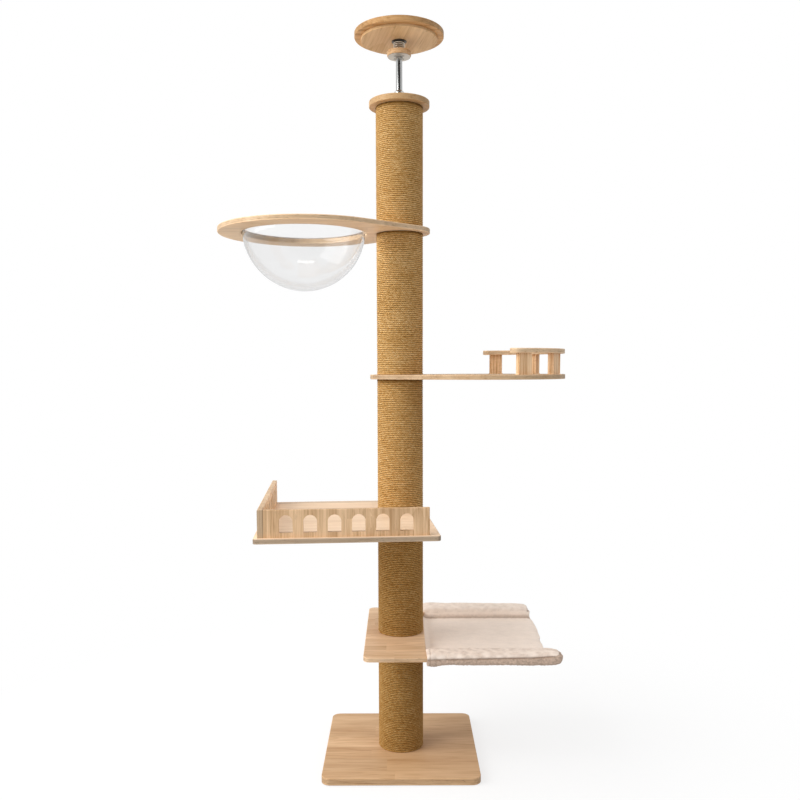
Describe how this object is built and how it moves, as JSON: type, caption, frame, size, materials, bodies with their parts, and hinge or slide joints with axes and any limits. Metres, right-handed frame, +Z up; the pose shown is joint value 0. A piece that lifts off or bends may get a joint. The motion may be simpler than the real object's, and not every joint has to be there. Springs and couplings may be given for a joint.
{
  "type": "cat tree",
  "caption": "Floor-to-ceiling cat tree: sisal post on a square base, swivelling hammock, fenced balcony, railed perch, clear bowl shelf and a spring-loaded ceiling jack.",
  "frame": {"origin": "on the post's axis, at the underside of the base where it stands on the floor", "axes": "+Z up the post; +X towards the hammock and the perch, with the bowl shelf towards -X; -Y is the front, where the balcony's arcaded fence faces"},
  "size_m": [1.1166, 0.7745, 2.3395],
  "materials": {
    "pine_wood": "clear-lacquered pine with fine grain",
    "plug_wood": "raw board",
    "paper_tube": "spiral-wound paper tube",
    "sisal_rope": "twisted natural sisal rope wound tight",
    "plush": "short-pile plush",
    "clear_acrylic": "clear polished acrylic",
    "bright_steel": "bright zinc-plated thread",
    "zinc_plate": "zinc-plated plate",
    "zinc_fasteners": "zinc-plated",
    "spring_steel": "drawn spring wire",
    "dark_steel": "blackened washer",
    "rubber_mat": "non-slip sheet"
  },
  "bodies": {
    "root": {"base_board": "pine_wood", "base_mat": "rubber_mat", "base_bolt": "zinc_fasteners", "rope_wrap_1": "sisal_rope", "rope_wrap_2": "sisal_rope", "rope_wrap_3": "sisal_rope", "rope_wrap_4": "sisal_rope", "rope_wrap_5": "sisal_rope", "post_core_1": "paper_tube", "post_core_2": "paper_tube", "post_core_3": "paper_tube", "post_core_4": "paper_tube", "post_core_5": "paper_tube", "post_plugs_1": "plug_wood", "post_plugs_2": "plug_wood", "post_plugs_3": "plug_wood", "post_plugs_4": "plug_wood", "post_plugs_5": "plug_wood", "threaded_inserts": "zinc_fasteners", "joining_studs": "zinc_fasteners", "top_cap": "pine_wood", "threaded_flange": "zinc_plate", "flange_screws": "zinc_fasteners"},
    "hammock": {"hammock_board": "pine_wood", "hammock_sling": "plush"},
    "balcony": {"balcony_board": "pine_wood", "front_fence": "pine_wood", "side_fence": "pine_wood", "fence_screws": "zinc_fasteners"},
    "perch": {"perch_board": "pine_wood", "perch_rail": "pine_wood", "rail_pillar_1": "pine_wood", "rail_pillar_2": "pine_wood", "rail_pillar_3": "pine_wood", "rail_pillar_4": "pine_wood", "rail_pillar_5": "pine_wood", "rail_screws": "zinc_fasteners"},
    "shelf": {"bowl_shelf": "pine_wood"},
    "bowl": {"bowl": "clear_acrylic"},
    "spring_carriage": {"spring_seat": "zinc_plate", "jack_spring": "spring_steel"},
    "jack_screw": {"jack_rod": "bright_steel", "jack_knob": "pine_wood", "knob_flange": "zinc_plate", "knob_screws": "zinc_fasteners"},
    "ceiling_plate": {"spring_cup": "dark_steel", "ceiling_under_disc": "pine_wood", "ceiling_top_disc": "pine_wood", "ceiling_mat": "rubber_mat"}
  },
  "joints": [
    {"name": "hammock_swivel", "type": "hinge", "parent": "root", "child": "hammock", "pos_m": [0, 0, 0.4115], "axis": [0, 0, 1], "continuous": true},
    {"name": "balcony_swivel", "type": "hinge", "parent": "root", "child": "balcony", "pos_m": [0, 0, 0.8225], "axis": [0, 0, 1], "continuous": true},
    {"name": "perch_swivel", "type": "hinge", "parent": "root", "child": "perch", "pos_m": [0, 0, 1.2655], "axis": [0, 0, 1], "continuous": true},
    {"name": "shelf_swivel", "type": "hinge", "parent": "root", "child": "shelf", "pos_m": [0, 0, 1.7285], "axis": [0, 0, 1], "continuous": true},
    {"name": "bowl_lift", "type": "slide", "parent": "shelf", "child": "bowl", "axis": [0, 0, 1], "range_m": [0, 0.24]},
    {"name": "jack_lift", "type": "slide", "parent": "root", "child": "spring_carriage", "axis": [0, 0, 1], "range_m": [-0.095, 0.1]},
    {"name": "jack_turn", "type": "hinge", "parent": "spring_carriage", "child": "jack_screw", "pos_m": [0, 0, 2.2725], "axis": [0, 0, 1], "range_deg": [-13680, 14400]},
    {"name": "spring_compress", "type": "slide", "parent": "spring_carriage", "child": "ceiling_plate", "axis": [0, 0, 1], "range_m": [-0.012, 0], "stiffness_N_per_m": 5000, "springref_m": 0.004, "deforming": ["jack_spring"]}
  ],
  "couplings": [
    {"joint": "jack_lift", "follows": "jack_turn", "m_per_rad": 0.00039789}
  ]
}
